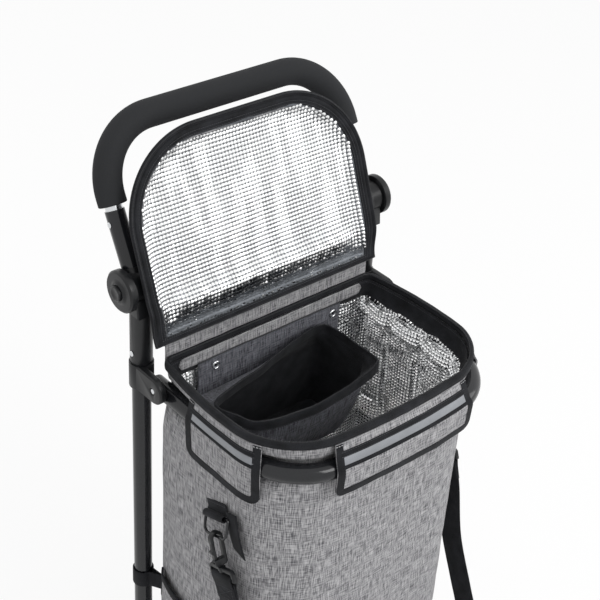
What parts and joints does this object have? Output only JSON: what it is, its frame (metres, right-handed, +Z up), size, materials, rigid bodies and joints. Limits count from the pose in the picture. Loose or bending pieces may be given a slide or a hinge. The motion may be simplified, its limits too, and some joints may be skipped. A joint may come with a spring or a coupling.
{
  "type": "shopping trolley",
  "caption": "Wheeled shopping trolley: folding tube handle with a foam grip, soft bag with an open insulated zip lid, inner pouch, side pocket and clip-on shoulder strap.",
  "frame": {"origin": "on the floor, at the middle of the trolley's bounding box seen from above", "axes": "+X to the trolley's right as seen by someone who pushes it from behind, -Y to its front, where the bag is, +Z up"},
  "size_m": [0.472, 0.4544, 0.9795],
  "materials": {
    "black_paint": "semi-gloss black powder coat",
    "black_plastic": "fine-grained moulded black nylon",
    "bright_steel": "bright steel",
    "black_foam": "matte closed-cell foam",
    "grey_fabric": "light grey melange woven polyester",
    "lid_fabric": "grey melange polyester outside, silver foil inside",
    "dark_fabric": "darker grey melange woven polyester",
    "black_webbing": "black woven webbing and zip tape",
    "silver_foil": "silver foil laminated on thin padding",
    "black_rubber": "matte black rubber",
    "tyre_rubber": "matte black rubber tread"
  },
  "bodies": {
    "frame": {"leg_tube_left": "black_paint", "leg_tube_right": "black_paint", "lower_crossbar": "black_paint", "support_ring": "black_paint", "ring_bracket_left": "black_plastic", "ring_bracket_right": "black_plastic", "foot_bracket_left": "black_plastic", "foot_bracket_right": "black_plastic", "foot_frame": "black_paint", "rubber_foot_left": "black_rubber", "rubber_foot_right": "black_rubber", "hinge_base_left": "black_plastic", "hinge_base_right": "black_plastic", "housing_rivet_left": "bright_steel", "housing_rivet_right": "bright_steel", "bracket_rivet_left": "bright_steel", "bracket_rivet_right": "bright_steel", "axle": "bright_steel", "bag_body": "grey_fabric", "bag_lining": "silver_foil", "rim_tape": "black_webbing", "flap_left": "grey_fabric", "flap_front": "grey_fabric", "flap_right": "grey_fabric", "side_pocket": "grey_fabric", "stud_panel": "dark_fabric", "press_stud_left": "bright_steel", "press_stud_right": "bright_steel", "inner_pouch": "dark_fabric", "leg_band": "black_webbing", "lid_gusset": "grey_fabric", "zip_slider": "black_paint", "strap_tab_left": "black_webbing", "strap_tab_right": "black_webbing", "strap_ring_left": "black_paint", "strap_ring_right": "black_paint", "swivel_left": "black_paint", "swivel_right": "black_paint", "shoulder_strap": "black_webbing"},
    "handle": {"hinge_arm_left": "black_plastic", "hinge_arm_right": "black_plastic", "handle_tube_left": "black_paint", "handle_tube_right": "black_paint", "handle_rivet_left": "bright_steel", "handle_rivet_right": "bright_steel", "grip_tube": "bright_steel", "foam_grip": "black_foam"},
    "lock_button_left": {"lock_button_left": "black_plastic"},
    "lock_button_right": {"lock_button_right": "black_plastic"},
    "lid": {"lid_panel": "lid_fabric", "lid_band": "black_webbing"},
    "wheel_left": {"wheel_rim_left": "black_plastic", "tyre_left": "tyre_rubber"},
    "wheel_right": {"wheel_rim_right": "black_plastic", "tyre_right": "tyre_rubber"},
    "zip_pull": {"zip_pull": "black_paint"},
    "hook_left": {"hook_body_left": "black_paint"},
    "hook_right": {"hook_body_right": "black_paint"},
    "gate_left": {"hook_gate_left": "black_paint"},
    "gate_right": {"hook_gate_right": "black_paint"}
  },
  "joints": [
    {"name": "handle_fold", "type": "hinge", "parent": "frame", "child": "handle", "pos_m": [0, 0.11702, 0.791], "axis": [1, 0, 0], "range_deg": [-90, 0]},
    {"name": "button_left_press", "type": "slide", "parent": "handle", "child": "lock_button_left", "axis": [1, 0, 0], "range_m": [0, 0.004], "stiffness_N_per_m": 500, "springref_m": -0.001},
    {"name": "button_right_press", "type": "slide", "parent": "handle", "child": "lock_button_right", "axis": [-1, 0, 0], "range_m": [0, 0.004], "stiffness_N_per_m": 500, "springref_m": -0.001},
    {"name": "lid_hinge", "type": "hinge", "parent": "frame", "child": "lid", "pos_m": [0, 0.07832, 0.721], "axis": [1, 0, 0], "range_deg": [0, 111]},
    {"name": "wheel_left_spin", "type": "hinge", "parent": "frame", "child": "wheel_left", "pos_m": [-0.219, 0.10902, 0.085], "axis": [1, 0, 0], "continuous": true},
    {"name": "wheel_right_spin", "type": "hinge", "parent": "frame", "child": "wheel_right", "pos_m": [0.219, 0.10902, 0.085], "axis": [1, 0, 0], "continuous": true},
    {"name": "zip_pull_swing", "type": "hinge", "parent": "frame", "child": "zip_pull", "pos_m": [-0.162, 0.08862, 0.7105], "axis": [1, 0, 0], "range_deg": [0, 90]},
    {"name": "hook_left_swivel", "type": "hinge", "parent": "frame", "child": "hook_left", "pos_m": [-0.2006, -0.07856, 0.48598], "axis": [0, 0.342, 0.9397], "range_deg": [-15, 15]},
    {"name": "hook_right_swivel", "type": "hinge", "parent": "frame", "child": "hook_right", "pos_m": [0.1936, -0.07856, 0.48598], "axis": [0, 0.342, 0.9397], "range_deg": [-15, 15]},
    {"name": "gate_left_open", "type": "hinge", "parent": "hook_left", "child": "gate_left", "pos_m": [-0.2074, -0.0758, 0.49356], "axis": [0, 0.9397, -0.342], "range_deg": [0, 25], "stiffness_Nm_per_rad": 0.02, "springref_deg": -11.46},
    {"name": "gate_right_open", "type": "hinge", "parent": "hook_right", "child": "gate_right", "pos_m": [0.2004, -0.0758, 0.49356], "axis": [0, -0.9397, 0.342], "range_deg": [0, 25], "stiffness_Nm_per_rad": 0.02, "springref_deg": -11.46}
  ]
}
